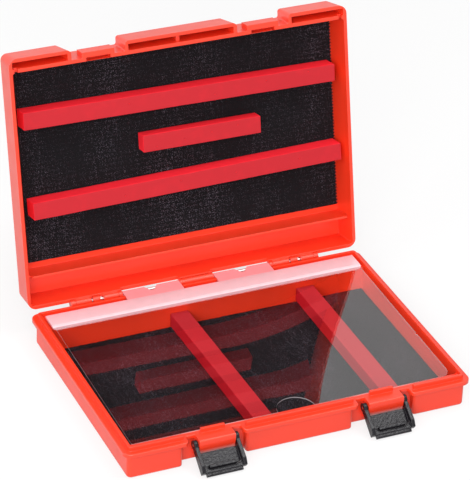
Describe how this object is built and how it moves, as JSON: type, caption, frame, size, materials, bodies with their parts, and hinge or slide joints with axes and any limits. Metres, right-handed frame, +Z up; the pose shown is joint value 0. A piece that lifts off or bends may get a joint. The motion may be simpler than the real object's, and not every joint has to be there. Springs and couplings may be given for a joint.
{
  "type": "tackle box",
  "caption": "Flat moulded tackle box with a hinged lid, front latches, a hinged clear inner cover and foam bars on loop liners.",
  "frame": {"origin": "middle of the tray's flat underside", "axes": "+X to the right along the hinge, +Y from the latches towards the hinge, +Z up"},
  "size_m": [0.24, 0.2473, 0.1903],
  "materials": {
    "case_plastic": "satin red-orange moulding",
    "loop_fabric": "near-black speckled loop pile",
    "hook_tape": "black hook tape",
    "foam": "matte closed-cell foam",
    "clear_sheet": "clear polished sheet",
    "milky_plastic": "translucent milky",
    "latch_plastic": "fine textured dark grey",
    "pin_steel": "drawn wire"
  },
  "bodies": {
    "base": {"base_tray": "case_plastic", "base_liner": "loop_fabric", "base_tape_left": "hook_tape", "base_tape_right": "hook_tape", "base_bar_left": "foam", "base_bar_right": "foam", "latch_pin_left": "pin_steel", "latch_pin_right": "pin_steel"},
    "lid": {"lid_shell": "case_plastic", "lid_liner": "loop_fabric", "lid_tape_upper": "hook_tape", "lid_tape_short": "hook_tape", "lid_tape_lower": "hook_tape", "lid_bar_upper": "foam", "lid_bar_short": "foam", "lid_bar_lower": "foam"},
    "cover": {"cover_sheet": "clear_sheet", "cover_strip": "milky_plastic"},
    "left_latch": {"latch_left": "latch_plastic"},
    "right_latch": {"latch_right": "latch_plastic"},
    "pin": {"hinge_pin": "pin_steel"}
  },
  "joints": [
    {"name": "lid_hinge", "type": "hinge", "parent": "base", "child": "lid", "pos_m": [0, 0.08797, 0.0201], "axis": [-1, 0, 0], "range_deg": [-102.4, 0]},
    {"name": "cover_hinge", "type": "hinge", "parent": "base", "child": "cover", "pos_m": [0, 0.08797, 0.0201], "axis": [-1, 0, 0], "range_deg": [0, 100]},
    {"name": "latch_left_hinge", "type": "hinge", "parent": "base", "child": "left_latch", "pos_m": [-0.0585, -0.0835, 0.015], "axis": [1, 0, 0], "range_deg": [-127.5, 0]},
    {"name": "latch_right_hinge", "type": "hinge", "parent": "base", "child": "right_latch", "pos_m": [0.0585, -0.0835, 0.015], "axis": [1, 0, 0], "range_deg": [-127.5, 0]},
    {"name": "hinge_pin_spin", "type": "hinge", "parent": "base", "child": "pin", "pos_m": [0, 0.08797, 0.0201], "axis": [1, 0, 0], "continuous": true}
  ]
}
